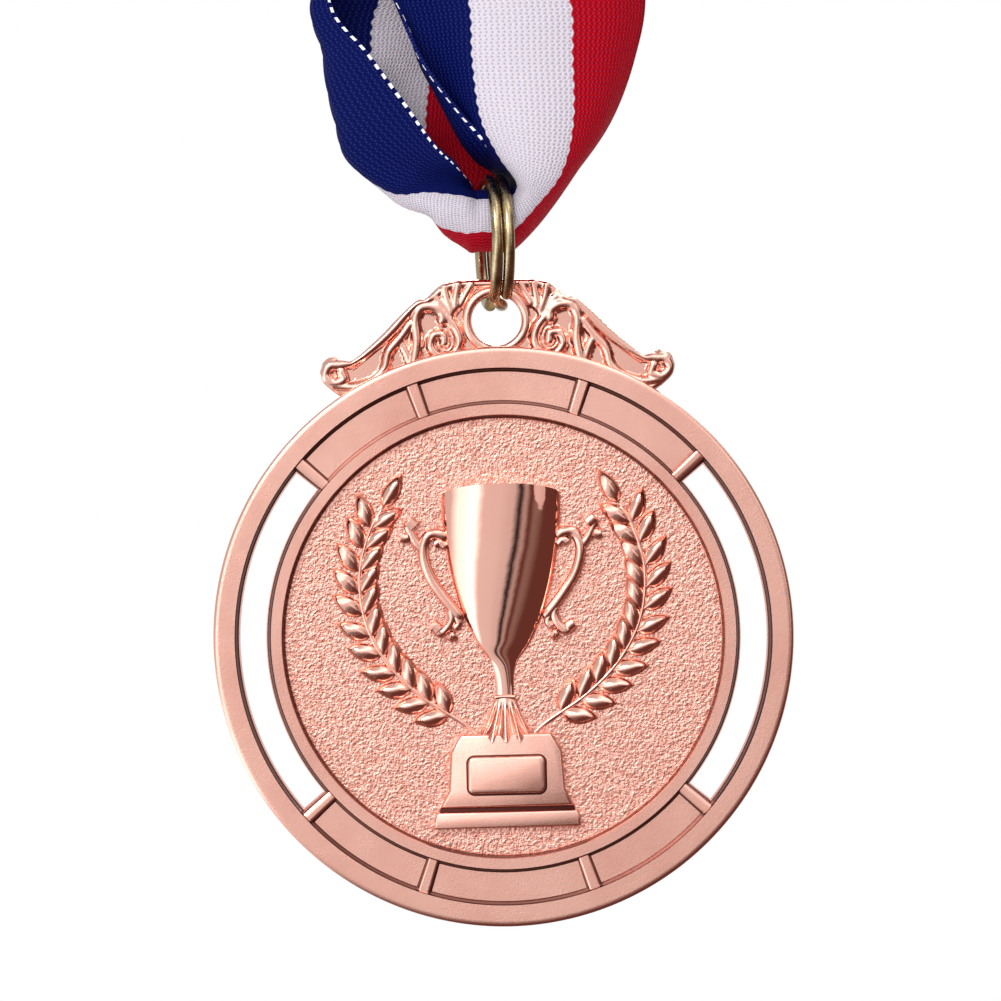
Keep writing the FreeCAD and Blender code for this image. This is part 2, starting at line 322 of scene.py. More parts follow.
NAVY = (0.0004, 0.0035, 0.068)
WHITE = (0.57, 0.52, 0.58)
RED = (0.36, 0.0008, 0.006)
STRIPE = INCH / 3
BORDER_WAVE = 1.1              # length of one wave of the stripe borders
BORDER_BLUR = 0.06
WEFT_PITCH = 0.62
WARP_PITCH = 0.5
DASH_PITCH = 1.15
PICK_UP = (0.02, 0.29)         # the pick-up threads' reach from the blue edge


def ribbon_cloth():
    """Woven tape. The UV map is in millimetres: across the tape, then along it."""
    shader = Shader("striped_ribbon", NAVY, 0.0, 0.62)
    uv = shader.node("UVMap", settings={"uv_map": "UVMap"})
    across = shader.node("SeparateXYZ", 0, Vector=uv)
    along = across.node.outputs[1]
    turn = 2 * math.pi
    # the weft beats leave the stripe borders in small even waves
    beat = shader.math("SINE", shader.math("MULTIPLY", along, turn / BORDER_WAVE))
    border = shader.math("ADD", across, shader.math("MULTIPLY", beat, 0.09))
    to_white = shader.spread(border, STRIPE - BORDER_BLUR, STRIPE + BORDER_BLUR)
    to_red = shader.spread(border, 2 * STRIPE - BORDER_BLUR, 2 * STRIPE + BORDER_BLUR)
    color = shader.mix(to_red, shader.mix(to_white, NAVY, WHITE), RED)
    # weave: weft ribs across, each crossed by warp ends half a step apart
    weft = shader.math("MULTIPLY", along, turn / WEFT_PITCH)
    warp = shader.math("MULTIPLY", across, turn / WARP_PITCH)
    slant = shader.math("ADD", warp, shader.math("MULTIPLY", shader.math("SINE", weft), 1.1))
    rib = shader.math("MULTIPLY", shader.math("SINE", weft), shader.math("SINE", slant))
    height = shader.spread(rib, -1.0, 1.0)
    # painted highlight: the tops of the ribs are mixed towards a blue-tinted sheen colour
    glint = shader.spread(rib, 0.35, 1.0, 0.0, 0.35)
    lit = shader.mix(glint, color, shader.mix(0.2, color, (0.22, 0.26, 0.85)))
    # painted shade: the dips between the ribs are darkened towards black
    dip_shade = shader.spread(rib, -0.1, -1.0, 0.0, 0.6)
    dip_shaded_color = shader.mix(dip_shade, lit, shader.mix(0.7, lit, (0.0, 0.0, 0.01)))
    # white pick-up threads along the blue selvedge
    dash = shader.math("GREATER_THAN", shader.math("SINE", shader.math("MULTIPLY", along, turn / DASH_PITCH)))
    low, high = PICK_UP
    edge = shader.math("MULTIPLY", shader.math("LESS_THAN", across, high),
                       shader.math("GREATER_THAN", across, low))
    selvedge = shader.math("MULTIPLY", dash, edge)
    shader.set(shader.bsdf, "Base Color", shader.mix(selvedge, dip_shaded_color, (0.85, 0.85, 0.9)))
    shader.set(shader.bsdf, "Normal", shader.bump(height, 0.9, 0.11))
    shader.set(shader.bsdf, "Specular IOR Level", 0.05)
    return shader.material


def plain_cloth(name, color, pitch):
    """Plain weave of one colour."""
    shader = Shader(name, color, 0.0, 0.75)
    x = shader.node("SeparateXYZ", 0, Vector=shader.place())
    y, z = x.node.outputs[1:3]
    turn = 2 * math.pi / pitch
    sideways = shader.math("ADD", x, y)
    weave = shader.math("MULTIPLY", shader.math("SINE", shader.math("MULTIPLY", sideways, turn)),
                        shader.math("SINE", shader.math("MULTIPLY", z, turn)))
    fuzz = shader.noise(1.2, 3.0)
    share = shader.spread(fuzz, 0.3, 0.7, 0.0, 0.35)
    dark = tuple(part * 0.6 for part in color)
    shader.set(shader.bsdf, "Base Color", shader.mix(share, color, dark))
    shader.set(shader.bsdf, "Normal", shader.bump(shader.spread(weave, -1.0, 1.0), 0.8, 0.1))
    shader.set(shader.bsdf, "Sheen Weight", 0.3)
    return shader.material


SATIN = cast_metal("rose_satin", 0.24, 0.14, 0.010)
RELIEF = cast_metal("rose_relief", 0.15, 0.2, 0.010, 0.25)
POLISHED = cast_metal("rose_polished", 0.05, 0.8, 0.003, 0.1)
SANDED = sand_metal()
# painted shade: a dark metal laid on the steep cast walls, the plinth's groove and the nameplate's seat,
# where shade falls
PAINTED_SHADE_METAL = Shader("rose_painted_shade", (0.10, 0.03, 0.024), 1.0, 0.35).material
BRASS = wire_metal()
RIBBON = ribbon_cloth()
TIE = plain_cloth("tie_tape", (0.50, 0.47, 0.42), 0.5)
THREAD = plain_cloth("sewing_thread", (0.80, 0.80, 0.84), 0.3)


# ---- medal: disc with rings, windows and spokes ----
MIDDLE_R = (INNER_OUT + OUTER_IN) / 2
CLOSEST = 0.0012               # angles nearer to each other than this are taken as one


def disc_angles(centres):
    """Angles of the disc's columns of points: even, closer at the spokes, and at the windows' ends."""
    full = 2 * math.pi
    stations = {round(math.radians(1.5 * k), 5) for k in range(240)}
    for centre in centres:
        for shift in (0.0, 0.38, 0.48, 0.56, 0.66):
            for side in (1, -1):
                stations.add(round((centre + side * shift / MIDDLE_R) % full, 5))
    for edge in (WINDOW_HALF, math.pi - WINDOW_HALF, math.pi + WINDOW_HALF, -WINDOW_HALF):
        stations.add(round(edge % full, 5))
    merged = []
    for angle in sorted(stations):
        if not merged or angle - merged[-1] > CLOSEST:
            merged.append(angle)
    return np.array(merged)


def disc():
    leans = [side * angle for angle in SPOKES for side in (1, -1)]
    centres = [upright + lean for upright in (math.pi / 2, -math.pi / 2) for lean in leans]
    angles = disc_angles(centres)
    window_in = INNER_OUT + WINDOW_LIP
    window_out = OUTER_IN - WINDOW_LIP
    draft = np.linspace(0, WALL, 6)
    field_radii = [0.4, 5, 10, 15, 18.2, 18.8]
    window_radii = [window_in, 21.2, 22.0, 22.7, window_out]
    edge_radii = [24.3, 24.9, 25.1, 25.24, 25.34, 25.385, DISC_R]
    radii = np.concatenate([field_radii, INNER_IN + draft, [19.9], INNER_OUT - draft[::-1],
                            window_radii, OUTER_IN + draft, edge_radii])
    r, a = np.meshgrid(radii, angles, indexing="ij")
    inner = ease((r - INNER_IN) / WALL) * ease((INNER_OUT - r) / WALL)
    outer = ease((r - OUTER_IN) / WALL)
    base = np.where(r < (INNER_IN + INNER_OUT) / 2, FIELD_FRONT, BAND_FRONT)
    front = base + (RING_FRONT - base) * np.maximum(inner, outer)
    spoke = np.zeros_like(r)
    for centre in centres:
        gap = np.abs((a - centre + math.pi) % (2 * math.pi) - math.pi) * MIDDLE_R
        spoke = np.maximum(spoke, ease((SPOKE_FOOT - gap) / SPOKE_DRAFT))
    in_band = (r > INNER_OUT - WALL) & (r < OUTER_IN + WALL)
    front = np.where(in_band, np.minimum(front, base + (SPOKE_FRONT - base) * spoke), front)
    edge = np.clip((r - (DISC_R - EDGE_ROUND)) / EDGE_ROUND, 0, 1)
    front = front + EDGE_ROUND * (1 - np.sqrt(1 - edge ** 2))
    back = np.full_like(r, BACK) - RECESS_DEPTH * ease((RECESS_R - r) / WALL)
    back = back - EDGE_ROUND * (1 - np.sqrt(1 - edge ** 2))
    plan = np.stack([r * np.cos(a), r * np.sin(a)], -1).reshape(-1, 2)
    columns = len(angles)
    faces = []
    for face in grid_faces(len(radii), columns, wrap=True):
        row, column = divmod(face[0], columns)
        following = angles[column + 1] if column + 1 < columns else angles[0] + 2 * math.pi
        middle = (angles[column] + following) / 2
        level = abs(math.asin(math.sin(middle)))
        hollow = window_in - 0.001 <= radii[row] < window_out - 0.001 and level < WINDOW_HALF
        if not hollow:
            faces.append(face)
    faces.append(tuple(range(columns - 1, -1, -1)))
    points, faces = two_sheets(plan, faces, front.reshape(-1), back.reshape(-1))
    piece = add_mesh("medal_disc", points, faces, SATIN, "medal", offset=(0, 0, DISC_Z))
    outward(piece)
    sharp_by_angle(piece, 50)
    for material in (SANDED, PAINTED_SHADE_METAL):
        piece.data.materials.append(material)
    for polygon in piece.data.polygons:
        x, y, z = np.array(polygon.center) / MM - np.array((0, 0, DISC_Z))
        radius = math.hypot(x, z)
        steep = abs(polygon.normal.y) < STEEP
        if radius < INNER_IN and y < 0:
            polygon.material_index = 1
        # steep walls of the rings and spokes take the painted shade metal
        elif radius < OUTER_IN + WALL and y < BAND_FRONT and steep:
            polygon.material_index = 2
    return piece


# ---- medal: crest ----
CREST_HALF = [(0.0, 31.3), (3.4, 31.25), (4.9, 30.8), (6.1, 29.75), (7.0, 29.5), (8.8, 27.9),
              (10.3, 26.4), (12.6, 24.5), (13.6, 24.6), (14.4, 24.85), (15.2, 24.4), (15.55, 23.5)]
CREST_UNDER = [(15.55, 23.5), (15.3, 22.6), (14.6, 21.9), (13.7, 21.3), (12.6, 21.0)]
# scrolls of the right-hand half, measured from the eye's centre: (points, half width, height)
SCROLLS = [
    ([(7.3, -3.6), (7.0, -1.6), (7.1, 0.2), (6.6, 1.2), (5.6, 1.3), (4.8, 0.8), (4.7, 0.1)], 0.42, 0.55),
    ([(4.5, 0.5), (3.6, -0.6), (3.3, -1.8), (3.9, -2.9), (5.1, -3.0), (5.8, -2.1), (5.5, -1.2),
      (4.7, -1.2), (4.6, -1.9)], 0.36, 0.5),
    ([(5.9, 2.0), (7.3, 1.4), (9.2, -0.7), (11.2, -2.4), (12.9, -3.4), (13.8, -3.6), (14.7, -3.7),
      (15.1, -4.5), (14.4, -5.2), (13.5, -4.9), (13.7, -4.2)], 0.40, 0.55),
    ([(14.4, -5.4), (12.6, -5.6), (10.9, -5.0), (9.9, -4.0), (9.5, -2.6), (8.4, -1.3), (7.6, -0.2)],
     0.36, 0.5),
    ([(7.6, -3.9), (8.0, -2.6), (8.6, -1.5)], 0.34, 0.4),
    ([(4.0, 0.6), (4.9, 1.6), (5.7, 2.3)], 0.36, 0.4),
    ([(3.9, 0.9), (4.3, 2.0), (4.5, 3.0)], 0.36, 0.45),
    ([(3.6, 1.2), (3.5, 2.2), (3.3, 3.2)], 0.36, 0.45),
    ([(3.1, 1.5), (2.6, 2.4), (2.1, 3.2)], 0.32, 0.4),
]
CREST_FRONT = -0.75
CREST_SINK = 0.5               # how far the crest reaches into the disc
CREST_ROUND = 0.3
CREST_FREE = 12.6              # beyond this half width the ends curl free of the disc
RIM_INSET = 0.38
RIM_HALF = 0.34
RIM_HEIGHT = 0.32
SCROLL_FATNESS = 1.25
# the eye's raised rim: (radius, depth)
EYE_PROFILE = [(EYE_R, -0.95), (2.26, -1.12), (2.42, -1.27), (2.62, -1.31), (2.84, -1.25), (3.0, -1.08),
               (3.06, -0.7), (3.06, 0.9), (2.95, 1.15), (2.6, 1.22), (2.34, 1.16), (EYE_R, 0.95)]
EYE_MARGIN = 0.42              # the crest's hole is this much wider than the eye, under the rim


def stroke(points_x, points_z, line, half, height, rise):
    """Adds a round-topped raised line to rise, where it stands higher."""
    path = catmull(line, max(12, len(line) * 9))
    gap = np.full(points_x.shape, 1e9)
    for px, pz in path:
        gap = np.minimum(gap, np.hypot(points_x - px, points_z - pz))
    inside = np.clip(1 - (gap / half) ** 2, 0, 1)
    return np.maximum(rise, height * np.sqrt(inside))


def crest():
    top = catmull(CREST_HALF, 160)
    under = catmull(CREST_UNDER, 60)
    half = np.concatenate([np.linspace(0, 12.4, 92), np.linspace(12.5, 15.2, 26),
                           np.array([15.3, 15.4, 15.48, 15.53, 15.55])])
    high = np.interp(half, top[:, 0], top[:, 1])
    order = np.argsort(under[:, 0])
    low_curl = np.interp(half, under[order, 0], under[order, 1])
    ring_r = DISC_R - CREST_SINK
    low_disc = np.sqrt(np.maximum(ring_r ** 2 - half ** 2, 0))
    low = np.where(half < CREST_FREE, low_disc, low_curl)
    low[-1] = high[-1] - 0.01
    xs = np.concatenate([-half[:0:-1], half])
    highs = np.concatenate([high[:0:-1], high])
    lows = np.concatenate([low[:0:-1], low])
    steps = np.sin(np.linspace(-math.pi / 2, math.pi / 2, 52)) * 0.5 + 0.5
    steps = 0.5 * steps + 0.5 * np.linspace(0, 1, 52)
    x = np.repeat(xs[:, None], len(steps), 1)
    z = lows[:, None] + (highs - lows)[:, None] * steps[None, :]
    rise = np.zeros_like(x)
    for line, half_width, height in SCROLLS:
        moved = [(px, pz + EYE_HEIGHT) for px, pz in line]
        rise = stroke(np.abs(x), z, moved, SCROLL_FATNESS * half_width, height, rise)
    gap = np.full(x.shape, 1e9)
    for px, pz in np.vstack([top, under]):
        gap = np.minimum(gap, np.hypot(np.abs(x) - px, z - pz))
    rim = np.clip(1 - ((gap - RIM_INSET) / RIM_HALF) ** 2, 0, 1)
    rise = np.maximum(rise, RIM_HEIGHT * np.sqrt(rim))
    drop = np.clip(1 - gap / CREST_ROUND, 0, 1)
    front = CREST_FRONT - rise + CREST_ROUND * (1 - np.sqrt(1 - drop ** 2))
    back = BACK + 0.01 - CREST_ROUND * (1 - np.sqrt(1 - drop ** 2))
    plan = np.stack([x, z], -1).reshape(-1, 2)
    faces = []
    for face in grid_faces(len(xs), len(steps)):
        middle = plan[list(face)].mean(axis=0)
        if math.hypot(middle[0], middle[1] - EYE_HEIGHT) > EYE_R + EYE_MARGIN:
            faces.append(face)
    points, faces = two_sheets(plan, faces, front.reshape(-1), back.reshape(-1))
    piece = add_mesh("medal_crest", points, faces, RELIEF, "medal", offset=(0, 0, DISC_Z))
    outward(piece)
    sharp_by_angle(piece, 60)
    points, faces = lathe(EYE_PROFILE, 96, (0, EYE_HEIGHT))
    outward(add_mesh("medal_eye", points, faces, SATIN, "medal", offset=(0, 0, DISC_Z)))


# ---- medal: cup ----
CUP_RELIEF = 0.40              # depth of the half-round relief, against its radius
FOOT_RELIEF = 0.42
FLUTES = 13                    # waves round the whole foot
FLUTE_DEPTH = 0.34
SCALLOP = 0.30


def cup():
    profile = catmull([(5.25, 12.35), (5.22, 10.8), (5.05, 8.8), (4.7, 6.4), (4.15, 4.0), (3.35, 1.6),
                       (2.3, -0.6), (1.3, -2.0), (0.95, -2.9), (0.82, -4.0), (0.84, -5.2)], 70)
    foot = catmull([(0.84, -5.2), (1.15, -6.0), (1.7, -7.2), (2.35, -8.3), (2.7, -8.9)], 26)
    angles = np.linspace(0, math.pi, 110)
    rows = []
    for radius, height in profile:
        arch = 1.05 * ease((height - 7.0) / 5.35)
        rows.append([(radius * math.cos(a), FIELD_FRONT - CUP_RELIEF * radius * math.sin(a),
                      height + arch * math.sin(a)) for a in angles])
    add_relief("medal_cup", rows, POLISHED)
    rows = []
    for radius, height in foot:
        depth = ease((-5.4 - height) / 1.6)
        row = []
        for a in angles:
            flute = depth * math.cos(FLUTES * (a - math.pi / 2))
            bulge = 1 + FLUTE_DEPTH * flute
            scallop = -SCALLOP * flute * ease((-7.6 - height) / 1.2)
            row.append((radius * math.cos(a),
                        FIELD_FRONT - FOOT_RELIEF * radius * bulge * math.sin(a) - 0.1,
                        height + scallop))
        rows.append(row)
    add_relief("medal_cup_foot", rows, RELIEF)
    collar = [(-0.95, -5.35), (-0.5, -5.3), (0, -5.28), (0.5, -5.3), (0.95, -5.35)]
    points, faces = tube_mesh(collar, 0.2, FIELD_FRONT - 0.34)
    add_mesh("medal_cup_collar", points, faces, RELIEF, "medal", offset=(0, 0, DISC_Z))


def add_relief(name, rows, material):
    """Closed half-round form: the rows of its front, and a flat back sunk in the field."""
    front = np.array(rows)
    back = front.copy()
    back[:, :, 1] = FIELD_FRONT + 0.25
    plan = front[:, :, [0, 2]].reshape(-1, 2)
    faces = grid_faces(*front.shape[:2])
    points, faces = two_sheets(plan, faces, front[:, :, 1].reshape(-1), back[:, :, 1].reshape(-1))
    piece = add_mesh(name, points, faces, material, "medal", offset=(0, 0, DISC_Z))
    outward(piece)
    sharp_by_angle(piece, 50)


def tube_mesh(line, bar_r, depth, sides=12, samples=40):
    """Round bar along an XZ line at one depth, closed and rounded at both ends."""
    path = catmull(line, samples)
    heading = np.gradient(path, axis=0)
    heading /= np.linalg.norm(heading, axis=1)[:, None]
    points = []
    for index, (x, z) in enumerate(path):
        share = index / (samples - 1)
        taper = math.sqrt(max(1 - (2 * share - 1) ** 20, 0.0)) if 0 < index < samples - 1 else 0.15
        radius = bar_r * taper
        normal = (-heading[index][1], heading[index][0])
        for side in range(sides):
            angle = 2 * math.pi * side / sides
            out = radius * math.cos(angle)
            points.append((x + normal[0] * out, depth + radius * math.sin(angle),
                           z + normal[1] * out))
    faces = grid_faces(samples, sides, wrap=True)
    faces.append(tuple(range(sides)))
    faces.append(tuple(range(samples * sides - 1, (samples - 1) * sides - 1, -1)))
    return points, faces


# bars of the right-hand handle: (line, radius)
HANDLE_BARS = [
    ([(4.7, 8.5), (5.3, 9.0), (6.2, 9.1), (6.8, 8.3), (6.85, 7.0), (6.3, 5.3), (5.2, 3.6),
      (4.2, 2.3), (3.5, 1.5)], 0.5),
    ([(6.75, 7.6), (7.4, 8.3), (7.9, 9.2), (8.15, 9.9), (7.7, 10.1)], 0.42),
    ([(4.9, 7.9), (5.4, 8.35), (5.9, 8.1)], 0.38),
    ([(4.6, 2.6), (4.5, 1.7), (4.9, 0.9), (5.5, 0.4), (5.9, 0.8)], 0.42),
    ([(4.3, 2.2), (3.9, 1.3), (4.3, 0.7)], 0.36),
    ([(7.5, 9.7), (7.85, 10.0), (8.2, 10.3)], 0.62),
    ([(8.1, 8.9), (8.45, 8.8), (8.8, 8.9)], 0.46),
    ([(5.6, 0.6), (5.9, 0.9), (6.2, 1.1)], 0.55),
    ([(4.3, 0.3), (4.5, 0.1), (4.7, 0.3)], 0.50),
]


def handles():
    for side, name in ((1, "right"), (-1, "left")):
        points = []
        faces = []
        for line, radius in HANDLE_BARS:
            bar = [(side * x, z) for x, z in line]
            join(points, faces, *tube_mesh(bar, radius, FIELD_FRONT - 0.28))
        outward(add_mesh("medal_cup_handle_" + name, points, faces, RELIEF, "medal",
                         offset=(0, 0, DISC_Z)))


# ---- medal: plinth ----
def slab(name, outline, front, back, bevel, material, round_corners=0.0):
    """Straight-sided block on an XZ outline with bevelled front edges."""
    count = len(outline)
    points = [(x, front, z) for x, z in outline] + [(x, back, z) for x, z in outline]
    faces = [tuple(range(count)), tuple(range(2 * count - 1, count - 1, -1))]
    for index in range(count):
        after = (index + 1) % count
        faces.append((index, index + count, after + count, after))
    piece = add_mesh(name, points, faces, material, "medal", offset=(0, 0, DISC_Z))
    outward(piece)
    work = bmesh.new()
    work.from_mesh(piece.data)
    if round_corners:
        upright = [e for e in work.edges if abs(e.verts[0].co.y - e.verts[1].co.y) > 1e-6]
        bmesh.ops.bevel(work, geom=upright, offset=round_corners * MM, segments=5,
                        affect="EDGES", profile=0.5)
    front_edges = [e for e in work.edges if all(abs(v.co.y - front * MM) < 1e-7 for v in e.verts)]
    bmesh.ops.bevel(work, geom=front_edges, offset=bevel * MM, segments=3,
                    affect="EDGES", profile=0.5)
    work.to_mesh(piece.data)
    work.free()
    piece.data.shade_smooth()
    sharp_by_angle(piece, 35)


PLINTH_FRONT = -1.65


def mirrored(right):
    """Outline from its right-hand corners, upwards: the top, the right side down, the left side up."""
    left = [(-x, z) for x, z in right]
    return [left[-1]] + right[::-1] + left[:-1]


def plinth():
    sunk = FIELD_FRONT + 0.2
    slab("medal_plinth", mirrored([(5.9, -14.95), (5.1, -13.4), (4.9, -10.1), (3.95, -8.5)]),
         PLINTH_FRONT, sunk, 0.3, SATIN)
    slab("medal_plinth_base", mirrored([(6.4, -16.75), (6.4, -15.8), (6.1, -15.3)]),
         PLINTH_FRONT, sunk, 0.22, SATIN)
    # the groove and the nameplate's seat take the painted shade metal
    slab("medal_plinth_groove", mirrored([(6.0, -15.4), (5.8, -14.8)]), -0.85, sunk, 0.05, PAINTED_SHADE_METAL)
    slab("medal_nameplate_seat", mirrored([(3.53, -13.9), (3.53, -10.33)]),
         -1.72, -1.4, 0.02, PAINTED_SHADE_METAL, round_corners=0.7)
    slab("medal_nameplate", mirrored([(3.4, -13.75), (3.4, -10.45)]),
         -1.98, -1.5, 0.26, SATIN, round_corners=0.6)


# ---- medal: laurel ----
BRANCH = [(1.9, -9.1), (3.6, -7.6), (7.2, -5.2), (10.1, -2.3), (12.0, 1.3), (12.5, 5.5),
          (11.6, 9.2), (10.4, 11.4)]
BRANCH_STEPS = 200
LEAF_LENGTH = 3.25
LEAF_HALF = 0.82
LEAF_RISE = 0.54
LEAF_PAIRS = 11
LEAF_SPREADS = (math.radians(36), -math.radians(40))
LEAF_LIFT = 0.12               # a leaf's tip stands this much higher than its foot


def leaf_mesh(x, z, heading, length):
    """Almond leaf: two domed halves that meet in a ridge."""
    along = 11
    across = 7
    points = []
    for i in range(along):
        s = i / (along - 1)
        width = LEAF_HALF * math.sin(math.pi * s ** 0.8) ** 0.75 if 0 < s < 1 else 0.02
        swell = LEAF_RISE * (0.35 + 0.65 * math.sin(math.pi * min(s * 1.05, 1.0)))
        for j in range(across):
            t = 2 * j / (across - 1) - 1
            dome = (1 - abs(t) ** 2.2) * swell
            ridge = 0.10 * max(0.0, 1 - abs(t) * 3)
            out = t * width
            reach = s * length
            points.append((x + reach * math.cos(heading) - out * math.sin(heading),
                           FIELD_FRONT + 0.04 - dome - ridge - LEAF_LIFT * s,
                           z + reach * math.sin(heading) + out * math.cos(heading)))
    faces = grid_faces(along, across)
    front = np.array(points)
    back = np.full(len(points), FIELD_FRONT + 0.2)
    return two_sheets(front[:, [0, 2]], faces, front[:, 1], back)


def laurel():
    for side, name in ((1, "right"), (-1, "left")):
        path = catmull(BRANCH, BRANCH_STEPS)
        points, faces = tube_mesh([(side * x, z) for x, z in BRANCH], 0.2, FIELD_FRONT - 0.05,
                                  samples=90)
        for index in range(LEAF_PAIRS + 1):
            share = 0.15 + 0.85 * index / LEAF_PAIRS
            here = int(share * (BRANCH_STEPS - 1))
            spot = path[here]
            before = path[here - 4]
            heading = math.atan2(spot[1] - before[1], spot[0] - before[0])
            if index == LEAF_PAIRS:
                leaves = [(0.0, LEAF_LENGTH * 1.05)]
            else:
                leaves = [(spread, LEAF_LENGTH) for spread in LEAF_SPREADS]
            for spread, length in leaves:
                turn = heading + spread
                x = spot[0] + 0.12 * math.cos(turn)
                z = spot[1] + 0.12 * math.sin(turn)
                more, more_faces = leaf_mesh(x, z, turn, length)
                more[:, 0] *= side
                join(points, faces, more, more_faces)
        piece = add_mesh("medal_laurel_" + name, points, faces, RELIEF, "medal", offset=(0, 0, DISC_Z))
        outward(piece)
        sharp_by_angle(piece, 70)


# ---- neck ribbon ----
PEG_R = 3.0
LAYER = 0.55                   # spacing of the layers of the hank
TURNS = 3
PASS_LENGTH = 43.0             # from the peg's centre to the lower bends
SHOULDER = 16.0                # below this the passes are straight
RIBBON_HALF = INCH / 2
RIBBON_THICK = 0.34
SEAM_FROM = -35.0
SEAM_TO = -44.5
SEAM_STEPS = 8
SEAM_LIFT = 0.42               # the outer end lies this far in front of the one below
ACROSS = 30                    # strips across the tape

# Sections of the hanging part: (stripe borders passed, x, y, z), z above the ring's centre.
# The first number is 0 at the blue edge, 1 and 2 at the borders of the white, 3 at the red edge.
CROWN = [(0, 2.4, 3.8), (0.4, -0.2, 4.5), (1, -2.9, 3.6), (1.5, -4.1, 2.2), (2, -4.1, 0.9),
         (2.35, -2.4, -0.4), (2.7, 0.6, -0.5), (3, 3.2, 0.9)]
RIGHT_STRAND = [
    [(0, 1.1, 3.6, 5.6), (0.25, 1.4, 3.4, 5.3), (0.5, 2.0, 1.8, 5.3), (0.75, 2.1, -1.6, 5.5),
     (1, 2.2, -3.8, 5.0), (1.5, 2.8, -5.0, 3.9), (2, 3.5, -4.5, 2.9), (2.4, 4.0, -2.6, 2.1),
     (2.7, 4.3, 0.0, 2.2), (3, 4.5, 2.6, 3.4)],
    [(0, -0.3, -3.2, 8.6), (0.25, -1.9, -0.6, 8.0), (0.5, -1.2, 1.2, 7.3), (0.75, -0.2, -1.4, 7.7),
     (1, 0.6, -4.5, 7.5), (1.5, 3.2, -5.6, 6.4), (2, 5.9, -4.7, 5.9), (2.5, 7.1, -2.6, 6.1),
     (3, 7.8, 0.6, 6.9)],
    [(0, -2.8, -3.2, 11.5), (0.25, -4.0, -1.8, 11.6), (0.5, -3.6, -0.6, 11.4),
     (0.75, -2.0, -2.4, 11.1), (1, -0.9, -4.5, 10.8), (1.5, 3.1, -5.7, 10.3), (2, 7.0, -4.9, 10.1),
     (2.5, 9.4, -3.0, 10.2), (3, 10.5, -0.2, 10.8)],
    [(0, -5.9, -2.6, 15.9), (0.25, -6.1, -0.8, 15.9), (0.5, -4.6, -1.1, 15.8),
     (1, -1.5, -4.5, 15.7), (1.5, 2.8, -5.3, 15.6), (2, 7.1, -4.6, 15.6), (2.5, 10.4, -3.0, 15.6),
     (3, 12.5, -0.4, 15.8)],
    [(0, -8.4, -1.4, 21.4), (0.25, -7.4, -1.3, 21.4), (0.5, -5.6, -2.3, 21.4),
     (1, -1.8, -4.4, 21.4), (1.5, 2.5, -4.9, 21.4), (2, 6.9, -4.3, 21.4), (2.5, 10.8, -2.9, 21.4),
     (3, 13.6, -0.6, 21.4)],
]
LEFT_STRAND = [
    [(0, -2.1, -0.8, 5.2), (0.4, -2.3, -1.6, 4.7), (1, -2.7, -3.6, 3.9), (1.5, -2.9, -4.4, 2.4),
     (2, -2.7, -3.8, 0.9), (2.4, -2.5, -1.8, -0.3), (2.7, -2.3, 0.8, -0.2), (3, -2.4, 3.6, 2.4)],
    [(0, -3.2, -3.6, 6.8), (0.5, -4.2, -2.4, 5.6), (1, -5.5, -3.4, 4.3), (1.5, -5.5, -3.9, 2.9),
     (2, -5.1, -3.0, 1.9), (2.4, -4.4, -0.6, 1.4), (2.7, -3.2, 2.2, 2.4), (3, -1.2, 4.3, 5.3)],
    [(0, -5.0, -3.9, 8.6), (0.5, -7.3, -3.1, 6.6), (0.8, -9.0, -2.9, 5.3), (1, -9.3, -2.2, 4.8),
     (1.35, -8.6, -0.8, 3.9), (1.7, -7.2, 0.9, 3.9), (2, -5.6, 2.2, 4.8), (2.5, -3.0, 3.5, 6.0),
     (3, 0.8, 4.4, 7.0)],
    [(0, -7.3, -3.8, 12.0), (0.4, -10.4, -3.6, 10.1), (0.7, -12.7, -2.2, 9.0),
     (0.85, -13.2, -1.0, 8.7), (1, -12.8, 0.2, 8.6), (1.3, -11.2, 1.4, 8.8), (2, -5.9, 2.6, 10.2),
     (2.5, -3.2, 3.2, 10.8), (3, -0.4, 3.4, 11.4)],
    [(0, -10.5, -3.0, 16.6), (0.35, -13.0, -2.6, 15.2), (0.6, -14.4, -1.0, 14.6),
     (0.75, -13.8, 0.6, 14.7), (1, -10.7, 1.6, 15.6), (1.5, -7.9, 2.7, 15.8), (2, -5.0, 3.2, 15.8),
     (3, 3.4, 3.2, 15.8)],
    [(0, -13.8, -1.8, 21.4), (0.2, -15.2, -1.3, 21.4), (0.35, -15.5, -0.1, 21.4),
     (0.5, -14.5, 1.0, 21.4), (1, -9.8, 2.2, 21.4), (2, -2.0, 2.9, 21.4), (3, 6.2, 2.8, 21.4)],
]


